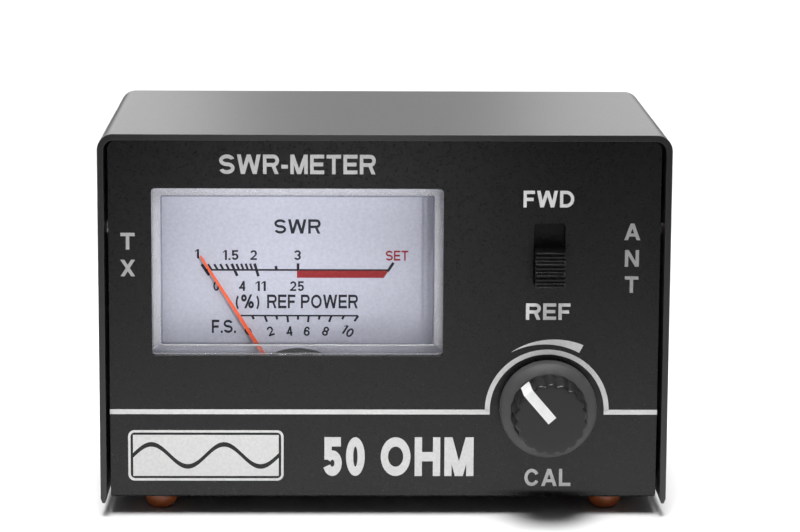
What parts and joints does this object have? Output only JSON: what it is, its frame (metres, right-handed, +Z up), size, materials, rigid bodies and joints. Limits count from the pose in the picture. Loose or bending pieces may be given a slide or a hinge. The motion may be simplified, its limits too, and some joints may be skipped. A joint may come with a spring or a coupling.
{
  "type": "swr meter",
  "caption": "Small steel-cased radio SWR meter with a rectangular moving-coil dial, slide switch, calibration knob and rear coax sockets.",
  "frame": {"origin": "centre of the bounding box at the bottom of the feet", "axes": "+Z up, +X to the right as seen from the front, +Y to the rear; the front panel faces -Y"},
  "size_m": [0.105, 0.0886, 0.0718],
  "materials": {
    "panel_black": "fine-textured matt black paint",
    "cover_black": "satin black paint",
    "plated_steel": "zinc plated",
    "nickel": "nickel plated",
    "brass": "bright",
    "copper": "tinned copper foil and wire",
    "soft_iron": "machined",
    "aluminium": "satin",
    "insulator": "moulded",
    "meter_plastic": "moulded light grey",
    "clear_plastic": "clear moulded plastic",
    "dial_print": "matt printed",
    "pointer_red": "orange-red paint",
    "knob_black": "moulded",
    "indicator_white": "inlaid",
    "slider_black": "moulded",
    "foot_amber": "translucent amber",
    "board_green": "glass-fibre laminate",
    "phenolic": "pressed laminate",
    "component_tan": "lacquered",
    "component_orange": "dipped",
    "shaft_white": "moulded",
    "wire_red": "insulated"
  },
  "bodies": {
    "case": {"front_panel": "panel_black", "floor_pan": "panel_black", "rear_panel": "panel_black", "cover_tabs": "panel_black", "cover": "cover_black", "cover_screws": "plated_steel", "foot_front_left": "foot_amber", "foot_front_right": "foot_amber", "foot_rear_left": "foot_amber", "foot_rear_right": "foot_amber", "tx_socket_shell": "nickel", "tx_socket_insulator": "insulator", "tx_centre_contact": "brass", "ant_socket_shell": "nickel", "ant_socket_insulator": "insulator", "ant_centre_contact": "brass", "socket_screws": "nickel", "socket_nuts": "plated_steel", "ground_lugs": "brass", "coupler_board": "board_green", "through_line": "copper", "sense_lines": "copper", "load_resistors": "component_tan", "detector_diodes": "component_orange", "filter_capacitors": "component_orange", "control_board": "board_green", "switch_frame": "plated_steel", "switch_base": "phenolic", "switch_terminals": "brass", "pot_bushing": "aluminium", "pot_washer": "plated_steel", "pot_nut": "plated_steel", "pot_wafer": "phenolic", "pot_can": "plated_steel", "pot_terminals": "brass", "meter_window": "clear_plastic", "meter_case": "meter_plastic", "dial_plate": "dial_print", "dial_screws": "plated_steel", "meter_terminals": "brass", "yoke_ring": "soft_iron", "core_magnet": "soft_iron", "core_holder": "aluminium", "front_bridge": "brass", "rear_bridge": "brass", "jewel_screws": "brass", "hairsprings": "brass", "meter_bracket": "plated_steel", "bracket_screws": "plated_steel", "hookup_wires": "wire_red"},
    "needle": {"pointer": "pointer_red", "balance_weights": "aluminium", "moving_coil": "copper", "coil_staff": "soft_iron"},
    "knob": {"knob_body": "knob_black", "knob_indicator": "indicator_white", "pot_shaft": "shaft_white", "pot_wiper": "brass"},
    "slider": {"switch_slider": "slider_black", "switch_contacts": "brass"}
  },
  "joints": [
    {"name": "needle_swing", "type": "hinge", "parent": "case", "child": "needle", "pos_m": [-0.016, -0.02775, 0.0194], "axis": [0, 1, 0], "range_deg": [-2.5, 70], "stiffness_Nm_per_rad": 0.00002},
    {"name": "cal_turn", "type": "hinge", "parent": "case", "child": "knob", "pos_m": [0.0303, -0.04425, 0.0209], "axis": [0, 1, 0], "range_deg": [-109, 191]},
    {"name": "range_slide", "type": "slide", "parent": "case", "child": "slider", "axis": [0, 0, 1], "range_m": [0, 0.0045]}
  ]
}
